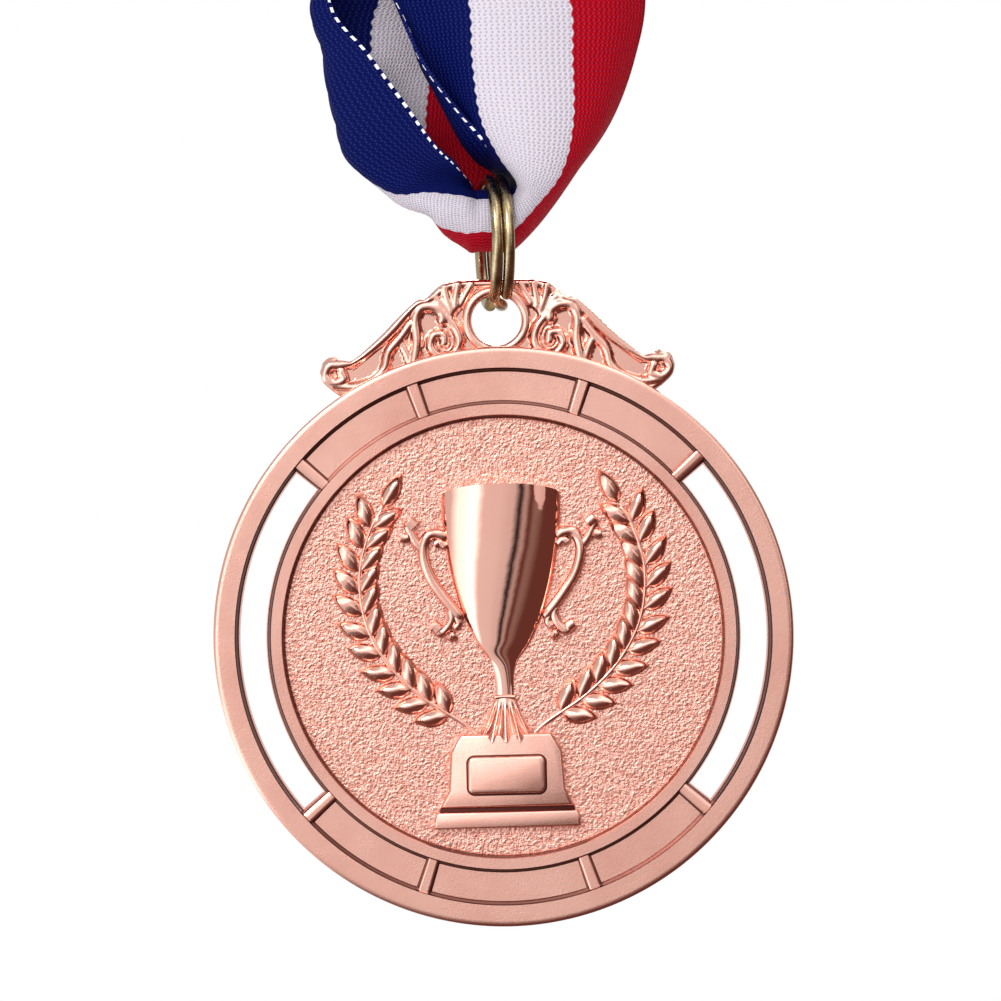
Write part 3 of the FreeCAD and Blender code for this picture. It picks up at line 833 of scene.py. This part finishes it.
def hank_line(outer):
    """Side line (y, z) of one strand from the top of the peg through every pass to where it leaves."""
    sign = 1 if outer else -1
    points = []

    def over(radius, start_side, start_offset, end_side, end_offset):
        """Tangent arc over the peg, between straight passes at the two offsets."""
        def touch(offset):
            reach = math.hypot(offset, SHOULDER)
            return math.atan2(-SHOULDER, offset) + math.acos(radius / reach)
        first = touch(abs(start_offset)) if start_offset is not None else math.pi / 2
        last = touch(abs(end_offset))
        begin = first if start_side > 0 else math.pi - first
        end = last if end_side > 0 else math.pi - last
        for step in range(13):
            angle = begin + (end - begin) * step / 12
            points.append((radius * math.cos(angle), radius * math.sin(angle)))

    def down(offset, rising):
        levels = [-SHOULDER - 1.5, -24.0, -30.0, -36.0, -PASS_LENGTH + 2.0]
        for level in (reversed(levels) if rising else levels):
            points.append((offset, level))

    def under(start, end):
        middle = (start + end) / 2
        radius = abs(end - start) / 2
        for step in range(9):
            angle = math.pi * step / 8
            points.append((middle - radius * math.cos(angle), -PASS_LENGTH - radius * math.sin(angle)))

    offset = -sign * LAYER / 2
    over(PEG_R + 0.25, 1, None, -1 if outer else 1, offset)
    down(offset, False)
    for turn in range(TURNS):
        rising = (2 * turn + 2) * LAYER + sign * LAYER / 2
        under(offset, rising)
        down(rising, True)
        falling = -((2 * turn + 2) * LAYER + sign * LAYER / 2)
        radius = PEG_R + LAYER * (1.5 + 2 * turn) + (LAYER if outer else 0)
        over(radius, 1, rising, -1, falling)
        down(falling, False)
        offset = falling
    points += [(offset, -PASS_LENGTH), (offset, HANK_BOTTOM)]
    return np.array(points)


def flat_section(y, z):
    xs = np.linspace(-RIBBON_HALF, RIBBON_HALF, ACROSS + 1)
    return np.stack([xs, np.full_like(xs, y), np.full_like(xs, z)], 1)


def section_line(section):
    """Points evenly spread over the stripes along one section."""
    fine = catmull(section, 240)
    wanted = np.linspace(0, 3, ACROSS + 1)
    spread = [np.interp(wanted, fine[:, 0], fine[:, k]) for k in (1, 2, 3)]
    return np.stack(spread, 1) + np.array([0, 0, RING_Z])


def free_sections():
    """The hanging part from the hank down through the ring and up again."""
    crowns = [[(share, x, y, z) for share, y, z in CROWN] for x in (1.5, 0.5, -0.5, -1.5)]
    return [section_line(section) for section in RIGHT_STRAND[::-1] + crowns + LEFT_STRAND]


def even_line(points, step):
    length = np.linalg.norm(np.diff(points, axis=0), axis=1).sum()
    return catmull(points, max(4, int(length / step)))


def ribbon_rows():
    """Sections of the whole tape, from one end at the seam round to the end laid over it."""
    outer = even_line(hank_line(True), 1.2)
    inner = even_line(hank_line(False), 1.2)
    seam_at = int(np.argmin(np.abs(outer[-60:, 1] - SEAM_FROM))) + len(outer) - 60
    first = [flat_section(y, z) for y, z in outer[seam_at:]]
    last = [flat_section(y, z) for y, z in inner[::-1]]
    loop = [flat_section(y, z) for y, z in outer[1:seam_at]]
    strand_y = outer[-1][0]
    overlap = []
    for step in range(1, SEAM_STEPS + 1):
        z = SEAM_FROM + (SEAM_TO - SEAM_FROM) * step / SEAM_STEPS
        overlap.append(flat_section(strand_y - SEAM_LIFT * min(1, step / 2), z))
    guides = np.array([first[-3], first[-1]] + free_sections() + [last[0], last[2]])
    return np.array(first[:-1] + spline(guides, 14) + last + loop + overlap)


def ribbon():
    rows = ribbon_rows()
    steps = np.linalg.norm(np.diff(rows, axis=0), axis=2).mean(axis=1)
    along = np.concatenate([[0], np.cumsum(steps)])
    columns = ACROSS + 1
    faces = grid_faces(len(rows), columns)
    piece = add_mesh("neck_ribbon", rows.reshape(-1, 3), faces, RIBBON, "ribbon")
    layer = piece.data.uv_layers.new(name="UVMap")
    for loop in piece.data.loops:
        row, column = divmod(loop.vertex_index, columns)
        layer.data[loop.index].uv = (column / ACROSS * INCH, along[row])
    thick = piece.modifiers.new("thickness", "SOLIDIFY")
    thick.thickness = RIBBON_THICK * MM
    thick.offset = 0.0
    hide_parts("ribbon_run", "ribbon_hank")


# ---- tie and stitches ----
TIE_HALF = 0.3                 # half the band's thickness
TIE_CORNER = 0.7
TIE_WOBBLE = 0.12
# outline of the band's cross-section: (distance from its middle, share of its height)
TIE_SECTION = [(-0.3, 0.25), (-0.3, 0.75), (-0.1, 1.0), (0.15, 1.0),
               (0.3, 0.8), (0.3, 0.2), (0.15, 0.0), (-0.1, 0.0)]


def tie_line(half_x, half_y):
    """Rounded rectangle round the hank, with points every 0.8 mm or closer."""
    plan = []
    for cx, cy, start in ((1, 1, 0), (-1, 1, 90), (-1, -1, 180), (1, -1, 270)):
        for step in range(6):
            angle = math.radians(start + 18 * step)
            plan.append((cx * (half_x - TIE_CORNER) + TIE_CORNER * math.cos(angle),
                         cy * (half_y - TIE_CORNER) + TIE_CORNER * math.sin(angle)))
    dense = []
    for index, (x, y) in enumerate(plan):
        after = plan[(index + 1) % len(plan)]
        pieces = max(1, int(math.dist((x, y), after) / 0.8))
        dense += [(x + (after[0] - x) * k / pieces, y + (after[1] - y) * k / pieces)
                  for k in range(pieces)]
    return dense


def tie():
    low, high = [np.array(corner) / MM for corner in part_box("hank_tie")]
    line = tie_line(high[0] - TIE_HALF, high[1] - TIE_HALF)
    foot = low[2] + 0.3
    height = high[2] - low[2] - 0.6
    points = []
    for index, (x, y) in enumerate(line):
        before = line[index - 1]
        after = line[(index + 1) % len(line)]
        out = Vector((after[1] - before[1], before[0] - after[0])).normalized()
        wobble = TIE_WOBBLE * math.sin(index * 0.37)
        for depth, share in TIE_SECTION:
            points.append((x + out.x * depth, y + out.y * depth, foot + height * share + wobble))
    faces = ring_faces(len(line), len(TIE_SECTION))
    piece = add_mesh("hank_tie_band", points, faces, TIE, "ribbon")
    outward(piece)
    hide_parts("hank_tie")


STITCHES = 17                  # in each of two rows
STITCH_PITCH = (INCH - 2.4) / STITCHES
THREAD_R = 0.16


def stitches():
    low, high = [np.array(corner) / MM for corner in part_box("seam_thread")]
    front = low[1] - 0.05
    reach = 0.42 * STITCH_PITCH
    points = []
    faces = []
    for z in (high[2] - 0.17, low[2] + 0.17):
        for index in range(STITCHES):
            x = (index - (STITCHES - 1) / 2) * STITCH_PITCH
            line = [(x - reach, z - 0.05), (x, z), (x + reach, z + 0.05)]
            join(points, faces, *tube_mesh(line, THREAD_R, front, sides=8, samples=9))
    piece = add_mesh("seam_stitches", points, faces, THREAD, "ribbon")
    outward(piece)
    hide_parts("seam_thread")


# ---- stage, light and camera ----
FLOOR_DROP = 45.0
FLOOR_R = 450.0
FLOOR_SIDES = 96
FLOOR_COLOR = (0.86, 0.86, 0.86)
SPLIT_RING_R = 6.0
CUT_ABOVE_RING = 15.3          # the picture's top edge, above the top of the split ring
FRAME_MM = 87.8                # height and width of the picture at the medal
LENS = 250.0
SENSOR = 36.0
ROLL = math.radians(-1.3)


def stage():
    shader = Shader("pale_floor", FLOOR_COLOR, 0.0, 0.9)
    share = shader.spread(shader.noise(0.02), 0.3, 0.7, 0.0, 0.1)
    shader.set(shader.bsdf, "Base Color", shader.mix(share, FLOOR_COLOR, (0.80, 0.80, 0.80)))
    level = cad_box[0][2] / MM - FLOOR_DROP
    turns = [2 * math.pi * step / FLOOR_SIDES for step in range(FLOOR_SIDES)]
    rim = [(FLOOR_R * math.cos(turn), FLOOR_R * math.sin(turn), level) for turn in turns]
    floor = add_mesh("floor", rim, [tuple(range(FLOOR_SIDES))], shader.material, None, smooth=False)
    floor.visible_glossy = False


# brightness of the room from its lower right corner (0) to its upper left (1)
SHADE = (0.15, 0.06, 0.05)
ROOM = {
    0.0: SHADE,
    0.2: SHADE,
    0.285: (0.30, 0.22, 0.20),
    0.32: SHADE,
    0.355: (0.55, 0.5, 0.48),
    0.385: (0.03, 0.02, 0.02),
    0.425: (0.82, 0.8, 0.8),
    0.50: (0.93, 0.93, 0.93),
    0.57: (0.95, 0.95, 0.95),
    0.63: (2.5, 2.6, 2.7),
    0.74: (2.1, 2.1, 2.1),
    0.83: (0.85, 0.85, 0.85),
    1.0: (0.7, 0.7, 0.7),
}
REAR = (0.72, 0.70, 0.70)


def world():
    scene_world = bpy.data.worlds.new("studio")
    bpy.context.scene.world = scene_world
    scene_world.use_nodes = True
    tree = scene_world.node_tree
    tree.nodes.clear()
    new = tree.nodes.new
    link = tree.links.new
    spot = new("ShaderNodeTexCoord")
    split = new("ShaderNodeSeparateXYZ")
    link(spot.outputs["Generated"], split.inputs[0])

    def math_node(kind, a, b):
        node = new("ShaderNodeMath")
        node.operation = kind
        for index, value in enumerate((a, b)):
            if isinstance(value, float):
                node.inputs[index].default_value = value
            else:
                link(value, node.inputs[index])
        return node.outputs[0]

    # bright from the upper left, dark towards the lower right
    slope = math_node("ADD", math_node("MULTIPLY", split.outputs[0], -0.75),
                      math_node("MULTIPLY", split.outputs[2], 0.75))
    ramp = new("ShaderNodeValToRGB")
    ramp.color_ramp.interpolation = "EASE"
    elements = ramp.color_ramp.elements
    for position in sorted(ROOM)[2:]:
        elements.new(position)
    for element, position in zip(elements, sorted(ROOM)):
        element.position = position
        element.color = (*ROOM[position], 1)
    link(math_node("ADD", math_node("MULTIPLY", slope, 0.5), 0.5), ramp.inputs[0])
    # the room behind the medal is evenly lit
    below = math_node("MINIMUM", split.outputs[2], 0.0)
    behind = math_node("ADD", split.outputs[1], math_node("MULTIPLY", below, 0.8))
    rear = new("ShaderNodeMapRange")
    link(behind, rear.inputs[0])
    for index, value in enumerate((0.25, 0.6, 0.0, 1.0), 1):
        rear.inputs[index].default_value = value
    room = new("ShaderNodeMix")
    room.data_type = "RGBA"
    link(rear.outputs[0], room.inputs[0])
    link(ramp.outputs[0], room.inputs[6])
    room.inputs[7].default_value = (*REAR, 1)
    seen = new("ShaderNodeBackground")
    seen.inputs[0].default_value = (1, 1, 1, 1)
    around = new("ShaderNodeBackground")
    link(room.outputs[2], around.inputs[0])
    path = new("ShaderNodeLightPath")
    choose = new("ShaderNodeMixShader")
    out = new("ShaderNodeOutputWorld")
    link(path.outputs["Is Camera Ray"], choose.inputs[0])
    link(around.outputs[0], choose.inputs[1])
    link(seen.outputs[0], choose.inputs[2])
    link(choose.outputs[0], out.inputs[0])


def area_light(name, spot, aim, size, power):
    data = bpy.data.lights.new(name, "AREA")
    data.shape = "DISK"
    data.size = size
    data.energy = power
    light = bpy.data.objects.new(name, data)
    bpy.context.scene.collection.objects.link(light)
    light.location = spot
    light.rotation_euler = (Vector(aim) - Vector(spot)).to_track_quat("-Z", "Y").to_euler()


def camera_and_lights():
    top = (RING_Z + SPLIT_RING_R + CUT_ABOVE_RING) * MM
    aim = Vector((0, 0, top - FRAME_MM * MM / 2))
    data = bpy.data.cameras.new("camera")
    data.lens = LENS
    data.sensor_width = SENSOR
    data.clip_start = 0.01
    item = bpy.data.objects.new("camera", data)
    bpy.context.scene.collection.objects.link(item)
    distance = FRAME_MM * MM * LENS / SENSOR
    item.location = aim + Vector((0, -distance, 0))
    item.rotation_euler = (math.pi / 2, -ROLL, 0)
    bpy.context.scene.camera = item
    # light from the upper left, a weak fill from the right, and one from behind
    area_light("key", (-0.35, -0.55, 0.35), aim, 0.35, 3.0)
    area_light("fill", (0.5, -0.6, 0.1), aim, 0.5, 0.4)
    area_light("back", (0.1, 0.6, 0.3), aim, 0.5, 3.0)


def build():
    bpy.context.scene.view_settings.view_transform = "Standard"
    stage()
    world()
    camera_and_lights()
    main_disc = disc()
    for make in (crest, cup, handles, plinth, laurel):
        make()
    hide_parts("medal_casting")
    ring = frame["nodes"]["split_ring"]
    ring.data.materials.clear()
    ring.data.materials.append(BRASS)
    ribbon()
    tie()
    stitches()


build()
